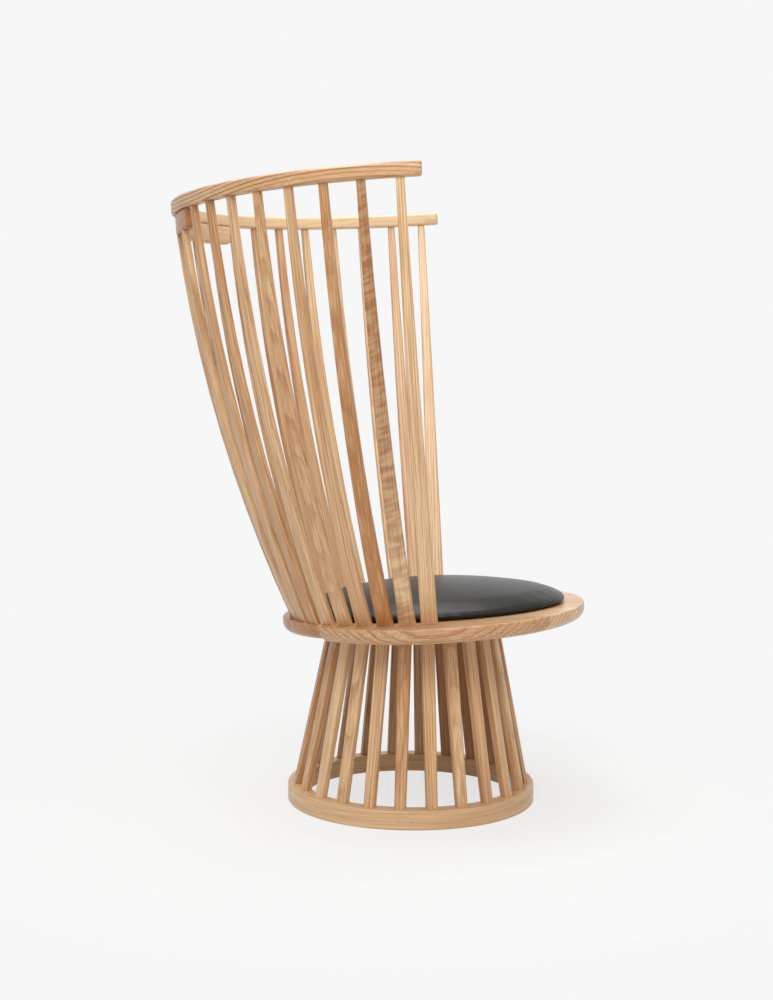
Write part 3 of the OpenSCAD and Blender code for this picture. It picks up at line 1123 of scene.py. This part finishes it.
@dataclass
class LeatherPad:
    """The round leather pad: a crowned oval with a rounded side and a flat underside."""

    place: SeatFrame
    half_width: float = 0.2122
    half_depth: float = 0.26675
    middle_y: float = -0.04125
    gap: float = 0.0003
    side: float = 0.018
    crown: float = 0.038
    back: float = 0.026
    corners: int = 128
    # the rings up the side: their share of the plan and of the side's height
    side_rings: tuple[Span, ...] = (
        (0.93, 0.0), (0.975, 0.06), (0.996, 0.25), (1.0, 0.5), (0.992, 0.78), (0.972, 1.02),
    )
    # the rings over the top: their number, the first one's share of the plan, and how they close up
    top_rings: int = 14
    top_share: float = 0.955
    top_power: float = 0.9
    # the filling
    voxel: float = 0.005
    held_share: float = 0.35
    pressure: float = 2.5
    stiffness: float = 22.0
    bending: float = 1.2
    quality: int = 4
    frames: int = 16
    cap: float = 0.003
    smoothing: int = 30
    smooth_factor: float = 0.5

    def outline(self) -> list[Span]:
        """Lists the rings that the pad is drawn up through.

        Returns:
            A share of the plan and a height for each ring.
        """
        rings = [(share, height * self.side) for share, height in self.side_rings]
        for step in range(1, self.top_rings + 1):
            share = self.top_share * (1 - step / (self.top_rings + 1)) ** self.top_power
            rings.append((share, self.side + self.crown * (1 - share * share)))
        return rings

    def build(self, leather: bpy.types.Material) -> None:
        """Models the pad and fills it.

        Args:
            leather: Its finish.
        """
        rings = self.outline()
        deselect_all()
        bpy.ops.mesh.primitive_circle_add(vertices=self.corners, radius=1.0, fill_type="NGON")
        pad = bpy.context.object
        pad.name = pad.data.name = "leather_pad"
        bpy.ops.object.mode_set(mode="EDIT")
        bpy.ops.mesh.select_mode(type="FACE")
        bpy.ops.mesh.select_all(action="SELECT")
        first, _ = rings[0]
        bpy.ops.transform.resize(value=(first * self.half_width, first * self.half_depth, 1.0))
        for (was, low), (share, height) in zip(rings, rings[1:]):
            step = (0.0, self.back * (was - share), height - low)
            bpy.ops.mesh.extrude_region_move(TRANSFORM_OT_translate={"value": step})
            centre = (0.0, self.back * (1 - share), 0.0)
            bpy.ops.transform.resize(value=(share / was, share / was, 1.0), center_override=centre)
        bpy.ops.mesh.poke()
        bpy.ops.object.mode_set(mode="OBJECT")
        self._close(pad)
        self._fill(pad)
        apply_modifier(pad, "SUBSURF", levels=1, render_levels=1)
        bpy.ops.object.shade_smooth()
        shift = Matrix.Translation((0.0, self.middle_y, self.gap))
        pad.data.transform(self.place.matrix() @ shift)
        pad.data.update()
        finish_piece(pad, leather, "seat_pad")

    @staticmethod
    def _close(pad: bpy.types.Object) -> None:
        """Closes the underside and turns all faces outwards.

        Args:
            pad: The pad.
        """
        open_mesh(pad, selected=False)
        bpy.ops.mesh.select_mode(type="EDGE")
        bpy.ops.mesh.select_non_manifold()
        bpy.ops.mesh.edge_face_add()
        bpy.ops.mesh.select_mode(type="FACE")
        bpy.ops.mesh.select_all(action="SELECT")
        bpy.ops.mesh.normals_make_consistent(inside=False)
        bpy.ops.object.mode_set(mode="OBJECT")

    def _fill(self, pad: bpy.types.Object) -> None:
        """Swells the pad by a short cloth simulation with its underside held.

        Args:
            pad: The pad.
        """
        apply_modifier(pad, "REMESH", mode="VOXEL", voxel_size=self.voxel)
        before = points_of(pad)
        held = pad.vertex_groups.new(name="held")
        low = np.flatnonzero(before[:, 2] < self.held_share * self.side)
        held.add([int(number) for number in low], 1.0, "REPLACE")
        make_active(pad)
        modifier = pad.modifiers.new("Cloth", "CLOTH")
        cloth = modifier.settings
        cloth.vertex_group_mass = held.name
        cloth.use_pressure = True
        cloth.uniform_pressure_force = self.pressure
        cloth.quality = self.quality
        cloth.tension_stiffness = cloth.compression_stiffness = self.stiffness
        cloth.bending_stiffness = self.bending
        cloth.effector_weights.gravity = 0.0
        modifier.collision_settings.use_collision = False
        modifier.point_cache.frame_end = self.frames
        scene = bpy.context.scene
        for frame in range(1, self.frames + 1):
            scene.frame_set(frame)
        bpy.ops.object.modifier_apply(modifier=modifier.name)
        scene.frame_set(1)
        move = points_of(pad) - before
        far = np.linalg.norm(move, axis=1, keepdims=True)
        move *= np.minimum(1.0, self.cap / np.maximum(far, 1e-9))
        pad.data.vertices.foreach_set("co", (before + move).ravel())
        pad.vertex_groups.clear()
        pad.data.update()
        apply_modifier(pad, "SMOOTH", factor=self.smooth_factor, iterations=self.smoothing)
        LOG.info("the pad swelled by up to %.1f mm", 1000 * np.linalg.norm(move, axis=1).max())


@dataclass
class Hardware:
    """Screws, dowels and the pad's board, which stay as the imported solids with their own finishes."""

    nodes: dict[str, bpy.types.Object]

    def build(self) -> None:
        """Dresses them."""
        steel = SteelFinish().material()
        finishes = {
            "pad_screws": steel,
            "block_screws": steel,
            "crest_dowels": BoardFinish("bare_dowel", (0.62, 0.47, 0.30)).material(),
            "pad_board": BoardFinish("bare_plywood").material(),
        }
        for name, material in finishes.items():
            for holder in self.nodes[name].material_slots:
                holder.material = material
            LOG.info("%s: %s", name, material.name)


# ---------------------------------------------------------------- the studio


def grey(level: float) -> tuple[float, float, float, float]:
    """A neutral colour."""
    return (level, level, level, 1.0)


@dataclass(frozen=True)
class Lamp:
    """A soft square lamp: where it hangs, its side and its power."""

    name: str
    place: Vec3
    size: float
    watts: float


@dataclass
class Studio:
    """A pale floor that fades into an even backdrop, soft light, and the camera."""

    floor_size: float = 40.0
    matte: float = 0.86
    paper: float = 0.93
    ambient: float = 0.30
    # the paper's share of what the camera sees of the floor: near the chair, and where it grows to all
    near_share: float = 0.76
    fade_span: Span = (0.55, 1.1)
    lamps: tuple[Lamp, ...] = (
        Lamp("key", (-2.7, 0.1, 2.6), 1.7, 62.0),
        Lamp("fill", (-1.6, -2.8, 1.9), 2.4, 16.0),
        Lamp("top", (0.2, 0.3, 3.4), 2.2, 74.0),
    )
    lamp_shine: float = 0.2
    lamp_aim: Vec3 = (0.0, 0.0, 0.6)
    # the camera's place, its turns in radians and its lens
    eye: Vec3 = (-3.2188, -0.2055, 0.8551)
    yaw: float = 0.0594633676
    pitch: float = -0.0787492558
    roll: float = 0.00432841654
    focal_px: float = 1622.8
    sensor_mm: float = 36.0

    def build(self) -> None:
        """Makes the floor, the backdrop, the lights and the camera."""
        self._floor()
        self._backdrop()
        for lamp in self.lamps:
            self._hang(lamp)
        self._camera()
        bpy.context.scene.view_settings.view_transform = "Standard"

    def _floor(self) -> None:
        """A large sheet whose far part shows the backdrop's own white to the camera."""
        deselect_all()
        bpy.ops.mesh.primitive_plane_add(size=self.floor_size)
        floor = bpy.context.object
        floor.name = "studio_floor"
        material, build = new_material("pale_floor")
        away = build.length(build.add("TexCoord").outputs["Object"])
        fade = build.ramp(away, *self.fade_span, self.near_share, 1.0)
        share = build.math("MULTIPLY", fade, self._seen(build))
        matte = build.add("BsdfDiffuse", {"Color": grey(self.matte)})
        paper = build.add("Emission", {"Color": grey(self.paper), "Strength": 1.0})
        mixed = build.add("MixShader", {0: share, 1: matte.outputs[0], 2: paper.outputs[0]})
        build.add("OutputMaterial", {"Surface": mixed.outputs[0]})
        floor.data.materials.append(material)

    def _backdrop(self) -> None:
        """The world: even light for the object, and the paper's white for the camera."""
        world = bpy.data.worlds.new("studio")
        bpy.context.scene.world = world
        world.use_nodes = True
        build = Nodes(world.node_tree)
        light = build.add("Background", {"Color": grey(1.0), "Strength": self.ambient})
        paper = build.add("Background", {"Color": grey(self.paper), "Strength": 1.0})
        mixed = build.add("MixShader", {0: self._seen(build), 1: light.outputs[0], 2: paper.outputs[0]})
        build.add("OutputWorld", {"Surface": mixed.outputs[0]})

    @staticmethod
    def _seen(build: Nodes) -> Socket:
        """1 for rays from the camera and for reflections, 0 for the light that falls on the chair."""
        path = build.add("LightPath")
        return build.math("MAXIMUM", path.outputs["Is Camera Ray"], path.outputs["Is Glossy Ray"])

    def _hang(self, lamp: Lamp) -> None:
        """Hangs a lamp that looks at the chair's middle.

        Args:
            lamp: The lamp.
        """
        data = bpy.data.lights.new(lamp.name, "AREA")
        data.shape, data.size, data.energy = "SQUARE", lamp.size, lamp.watts
        data.specular_factor = self.lamp_shine
        holder = bpy.data.objects.new(lamp.name, data)
        holder.location = lamp.place
        way = Vector(self.lamp_aim) - Vector(lamp.place)
        holder.rotation_euler = way.to_track_quat("-Z", "Y").to_euler()
        bpy.context.scene.collection.objects.link(holder)

    def _camera(self) -> None:
        """The camera at the photograph's view."""
        ahead = Vector((
            math.cos(self.yaw) * math.cos(self.pitch),
            math.sin(self.yaw) * math.cos(self.pitch),
            math.sin(self.pitch),
        ))
        level = Vector((math.sin(self.yaw), -math.cos(self.yaw), 0.0))
        upward = level.cross(ahead)
        right = math.cos(self.roll) * level + math.sin(self.roll) * upward
        up = right.cross(ahead)
        data = bpy.data.cameras.new("studio_camera")
        data.sensor_fit = "AUTO"
        data.sensor_width = self.sensor_mm
        data.lens = self.focal_px * self.sensor_mm / max(PHOTO_SIZE)
        camera = bpy.data.objects.new("studio_camera", data)
        turn = Matrix((right, up, -ahead)).transposed().to_4x4()
        camera.matrix_world = Matrix.Translation(self.eye) @ turn
        bpy.context.scene.collection.objects.link(camera)
        bpy.context.scene.camera = camera


def main() -> None:
    """Loads the frame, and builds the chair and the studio."""
    logging.basicConfig(level=logging.INFO, format="%(name)s: %(message)s")
    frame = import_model()
    nodes = frame["nodes"]
    Studio().build()
    groups = GrainGroups()
    finishes = (ASH, SEAT_ASH, PLAIN_ASH, RAIL_ASH, FIGURED_ASH)
    ash, planks, plain, rail, figured = (finish.material(groups) for finish in finishes)
    place = SeatFrame()
    RingBase(nodes).build(plain, ash)
    RoundSeat(nodes, place).build(planks)
    BackFan(nodes).build(ash, figured)
    CrestRail(nodes, place).build(rail, plain)
    LeatherPad(place).build(LeatherFinish().material())
    Hardware(nodes).build()
    deselect_all()


if __name__ == "__main__":
    main()
